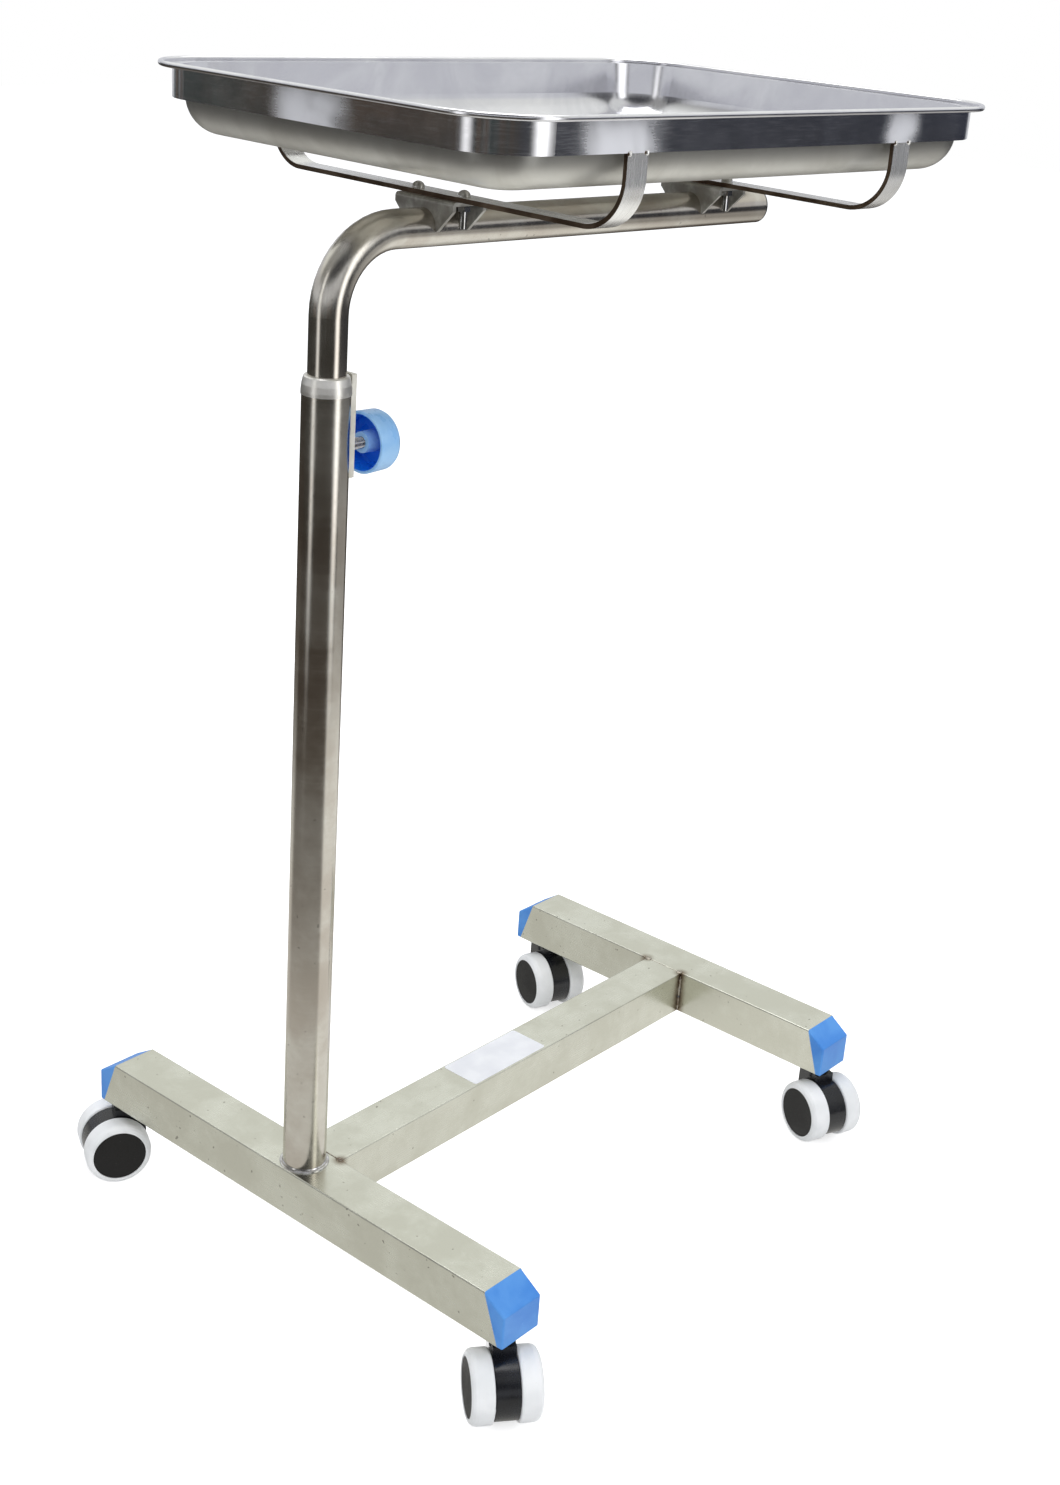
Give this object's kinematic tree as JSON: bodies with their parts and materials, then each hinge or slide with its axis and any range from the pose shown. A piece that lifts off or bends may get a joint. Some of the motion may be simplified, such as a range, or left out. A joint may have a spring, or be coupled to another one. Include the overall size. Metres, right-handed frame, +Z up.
{
  "type": "mayo instrument stand",
  "caption": "Height-adjustable instrument stand: offset arm and drop-in tray on a tubular mast, clamp knob, H-shaped base on twin-wheel casters.",
  "frame": {"origin": "middle of the whole stand at rest, on the floor", "axes": "+Z up; +X from the mast out under the tray, along the base; +Y to the left"},
  "size_m": [0.5297, 0.4795, 0.8569],
  "materials": {
    "base_steel": "satin brushed stainless",
    "mast_steel": "polished stainless tube with fine lengthwise lines",
    "bright_steel": "mirror-polished stainless strip and sheet",
    "label_foil": "bare pale silver foil",
    "weld_steel": "ground weld",
    "blue_plastic": "semi-gloss moulded",
    "black_plastic": "satin moulded",
    "white_tyre": "soft satin polyurethane",
    "fastener_steel": "bright zinc or stainless",
    "nylon": "natural",
    "brass": "turned"
  },
  "bodies": {
    "base": {"rear_bar": "base_steel", "middle_bar": "base_steel", "front_bar": "base_steel", "rear_left_cap": "blue_plastic", "rear_right_cap": "blue_plastic", "front_left_cap": "blue_plastic", "front_right_cap": "blue_plastic", "frame_welds": "weld_steel", "mast_tube": "mast_steel", "mast_weld": "weld_steel", "guide_collar": "mast_steel", "clamp_plate": "mast_steel", "stem_bushes": "fastener_steel", "rear_left_stem": "fastener_steel", "rear_right_stem": "fastener_steel", "front_left_stem": "fastener_steel", "front_right_stem": "fastener_steel"},
    "rear_left_caster": {"rear_left_hood": "black_plastic", "rear_left_axle": "fastener_steel"},
    "rear_left_wheel_a": {"rear_left_hub_a": "black_plastic", "rear_left_tyre_a": "white_tyre"},
    "rear_left_wheel_b": {"rear_left_hub_b": "black_plastic", "rear_left_tyre_b": "white_tyre"},
    "rear_right_caster": {"rear_right_hood": "black_plastic", "rear_right_axle": "fastener_steel"},
    "rear_right_wheel_a": {"rear_right_hub_a": "black_plastic", "rear_right_tyre_a": "white_tyre"},
    "rear_right_wheel_b": {"rear_right_hub_b": "black_plastic", "rear_right_tyre_b": "white_tyre"},
    "front_left_caster": {"front_left_hood": "black_plastic", "front_left_axle": "fastener_steel"},
    "front_left_wheel_a": {"front_left_hub_a": "black_plastic", "front_left_tyre_a": "white_tyre"},
    "front_left_wheel_b": {"front_left_hub_b": "black_plastic", "front_left_tyre_b": "white_tyre"},
    "front_right_caster": {"front_right_hood": "black_plastic", "front_right_axle": "fastener_steel"},
    "front_right_wheel_a": {"front_right_hub_a": "black_plastic", "front_right_tyre_a": "white_tyre"},
    "front_right_wheel_b": {"front_right_hub_b": "black_plastic", "front_right_tyre_b": "white_tyre"},
    "lift": {"foot_glide": "nylon"},
    "arm": {"gooseneck_tube": "mast_steel", "arm_plug": "black_plastic", "rear_saddle": "mast_steel", "front_saddle": "mast_steel", "rear_strap": "bright_steel", "front_strap": "bright_steel", "hoop": "bright_steel", "rear_bolts": "fastener_steel", "front_bolts": "fastener_steel", "rear_nuts": "fastener_steel", "front_nuts": "fastener_steel"},
    "pad": {"clamp_pad": "brass"},
    "knob": {"clamp_knob": "blue_plastic", "clamp_screw": "fastener_steel"},
    "tray": {"tray": "bright_steel"}
  },
  "joints": [
    {"name": "rear_left_swivel", "type": "hinge", "parent": "base", "child": "rear_left_caster", "pos_m": [-0.2177, 0.1965, 0.055], "axis": [0, 0, 1], "continuous": true},
    {"name": "rear_left_roll_a", "type": "hinge", "parent": "rear_left_caster", "child": "rear_left_wheel_a", "pos_m": [-0.23183, 0.20401, 0.026], "axis": [-0.4695, -0.8829, 0], "continuous": true},
    {"name": "rear_left_roll_b", "type": "hinge", "parent": "rear_left_caster", "child": "rear_left_wheel_b", "pos_m": [-0.23183, 0.20401, 0.026], "axis": [-0.4695, -0.8829, 0], "continuous": true},
    {"name": "rear_right_swivel", "type": "hinge", "parent": "base", "child": "rear_right_caster", "pos_m": [-0.2177, -0.1965, 0.055], "axis": [0, 0, 1], "continuous": true},
    {"name": "rear_right_roll_a", "type": "hinge", "parent": "rear_right_caster", "child": "rear_right_wheel_a", "pos_m": [-0.22755, -0.20911, 0.026], "axis": [0.788, -0.6157, 0], "continuous": true},
    {"name": "rear_right_roll_b", "type": "hinge", "parent": "rear_right_caster", "child": "rear_right_wheel_b", "pos_m": [-0.22755, -0.20911, 0.026], "axis": [0.788, -0.6157, 0], "continuous": true},
    {"name": "front_left_swivel", "type": "hinge", "parent": "base", "child": "front_left_caster", "pos_m": [0.2393, 0.153, 0.055], "axis": [0, 0, 1], "continuous": true},
    {"name": "front_left_roll_a", "type": "hinge", "parent": "front_left_caster", "child": "front_left_wheel_a", "pos_m": [0.23357, 0.13806, 0.026], "axis": [0.9336, -0.3584, 0], "continuous": true},
    {"name": "front_left_roll_b", "type": "hinge", "parent": "front_left_caster", "child": "front_left_wheel_b", "pos_m": [0.23357, 0.13806, 0.026], "axis": [0.9336, -0.3584, 0], "continuous": true},
    {"name": "front_right_swivel", "type": "hinge", "parent": "base", "child": "front_right_caster", "pos_m": [0.2393, -0.153, 0.055], "axis": [0, 0, 1], "continuous": true},
    {"name": "front_right_roll_a", "type": "hinge", "parent": "front_right_caster", "child": "front_right_wheel_a", "pos_m": [0.23357, -0.16794, 0.026], "axis": [0.9336, -0.3584, 0], "continuous": true},
    {"name": "front_right_roll_b", "type": "hinge", "parent": "front_right_caster", "child": "front_right_wheel_b", "pos_m": [0.23357, -0.16794, 0.026], "axis": [0.9336, -0.3584, 0], "continuous": true},
    {"name": "mast_lift", "type": "slide", "parent": "base", "child": "lift", "axis": [0, 0, 1], "range_m": [-0.02, 0.36]},
    {"name": "arm_swivel", "type": "hinge", "parent": "lift", "child": "arm", "pos_m": [-0.2177, 0, 0.14], "axis": [0, 0, 1], "continuous": true},
    {"name": "pad_travel", "type": "slide", "parent": "base", "child": "pad", "axis": [1, 0, 0], "range_m": [0, 0.0045]},
    {"name": "knob_turn", "type": "hinge", "parent": "pad", "child": "knob", "pos_m": [-0.1777, 0, 0.634], "axis": [1, 0, 0], "range_deg": [0, 1260]},
    {"name": "tray_lift_out", "type": "slide", "parent": "arm", "child": "tray", "axis": [0, 0, 1], "range_m": [0, 0.15]}
  ],
  "couplings": [
    {"joint": "pad_travel", "follows": "knob_turn", "m_per_rad": 0.00019894}
  ]
}
